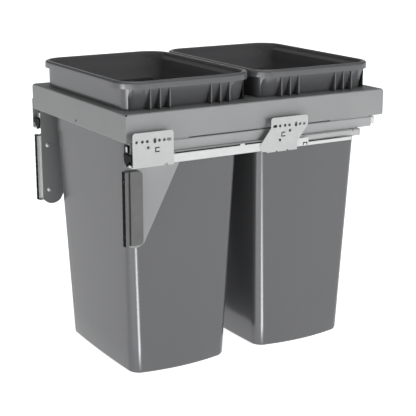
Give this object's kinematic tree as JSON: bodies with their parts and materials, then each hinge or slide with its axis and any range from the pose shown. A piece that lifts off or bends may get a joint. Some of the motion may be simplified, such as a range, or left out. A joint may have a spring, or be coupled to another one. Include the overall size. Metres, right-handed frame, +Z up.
{
  "type": "pull-out bin frame",
  "caption": "Folded steel frame that slides out of a base cabinet on full-extension runners and holds lift-out waste bins by their collars, with brackets for the cabinet's door.",
  "frame": {"origin": "on the plane of the bins' undersides, midway between the runners and midway along the frame", "axes": "front is -Y, where the cabinet's door goes; right is +X; up is +Z"},
  "size_m": [0.418, 0.5318, 0.5307],
  "materials": {
    "frame_paint": "light grey powder coat",
    "bin_plastic": "moulded mid grey plastic, fine grain",
    "rail_zinc": "zinc-plated cold-rolled strip",
    "plate_zinc": "zinc-plated stamped sheet",
    "black_plastic": "black moulded plastic",
    "roller_plastic": "smooth pale plastic",
    "cover_plastic": "dark grey moulded plastic",
    "strip_rubber": "matt black"
  },
  "bodies": {
    "cabinet": {"cabinet_rail_left": "rail_zinc", "cabinet_rail_right": "rail_zinc", "front_plate_left": "plate_zinc", "front_plate_right": "plate_zinc", "rear_plate_left": "plate_zinc", "rear_plate_right": "plate_zinc"},
    "carriage": {"frame_front": "frame_paint", "frame_rear": "frame_paint", "frame_side_left": "frame_paint", "frame_side_right": "frame_paint", "frame_bar": "frame_paint", "drawer_member_left": "frame_paint", "drawer_member_right": "frame_paint", "drawer_tail_left": "rail_zinc", "drawer_tail_right": "rail_zinc", "gusset_left": "frame_paint", "gusset_right": "frame_paint", "door_angle_left": "plate_zinc", "door_angle_right": "plate_zinc", "angle_cover_left": "cover_plastic", "angle_cover_right": "cover_plastic", "angle_screws_left": "plate_zinc", "angle_screws_right": "plate_zinc", "door_strip_left": "strip_rubber", "door_strip_right": "strip_rubber"},
    "bin_front": {"bin_front": "bin_plastic"},
    "bin_rear": {"bin_rear": "bin_plastic"},
    "middle_left": {"middle_member_left": "rail_zinc", "middle_bumper_left": "black_plastic", "middle_tail_left": "rail_zinc"},
    "lower_cage_left": {"lower_cage_left": "black_plastic", "lower_rollers_left": "roller_plastic"},
    "upper_cage_left": {"upper_cage_left": "black_plastic", "upper_rollers_left": "roller_plastic"},
    "middle_right": {"middle_member_right": "rail_zinc", "middle_bumper_right": "black_plastic", "middle_tail_right": "rail_zinc"},
    "lower_cage_right": {"lower_cage_right": "black_plastic", "lower_rollers_right": "roller_plastic"},
    "upper_cage_right": {"upper_cage_right": "black_plastic", "upper_rollers_right": "roller_plastic"}
  },
  "joints": [
    {"name": "frame_slide", "type": "slide", "parent": "cabinet", "child": "carriage", "axis": [0, -1, 0], "range_m": [0, 0.5]},
    {"name": "middle_left_slide", "type": "slide", "parent": "cabinet", "child": "middle_left", "axis": [0, -1, 0], "range_m": [0, 0.25]},
    {"name": "lower_cage_left_slide", "type": "slide", "parent": "cabinet", "child": "lower_cage_left", "axis": [0, -1, 0], "range_m": [0, 0.125]},
    {"name": "upper_cage_left_slide", "type": "slide", "parent": "cabinet", "child": "upper_cage_left", "axis": [0, -1, 0], "range_m": [0, 0.375]},
    {"name": "middle_right_slide", "type": "slide", "parent": "cabinet", "child": "middle_right", "axis": [0, -1, 0], "range_m": [0, 0.25]},
    {"name": "lower_cage_right_slide", "type": "slide", "parent": "cabinet", "child": "lower_cage_right", "axis": [0, -1, 0], "range_m": [0, 0.125]},
    {"name": "upper_cage_right_slide", "type": "slide", "parent": "cabinet", "child": "upper_cage_right", "axis": [0, -1, 0], "range_m": [0, 0.375]},
    {"name": "bin_front_lift", "type": "slide", "parent": "carriage", "child": "bin_front", "axis": [0, 0, 1], "range_m": [0, 0.5]},
    {"name": "bin_rear_lift", "type": "slide", "parent": "carriage", "child": "bin_rear", "axis": [0, 0, 1], "range_m": [0, 0.5]}
  ],
  "couplings": [
    {"joint": "middle_left_slide", "follows": "frame_slide", "ratio": 0.5},
    {"joint": "lower_cage_left_slide", "follows": "frame_slide", "ratio": 0.25},
    {"joint": "upper_cage_left_slide", "follows": "frame_slide", "ratio": 0.75},
    {"joint": "middle_right_slide", "follows": "frame_slide", "ratio": 0.5},
    {"joint": "lower_cage_right_slide", "follows": "frame_slide", "ratio": 0.25},
    {"joint": "upper_cage_right_slide", "follows": "frame_slide", "ratio": 0.75}
  ]
}
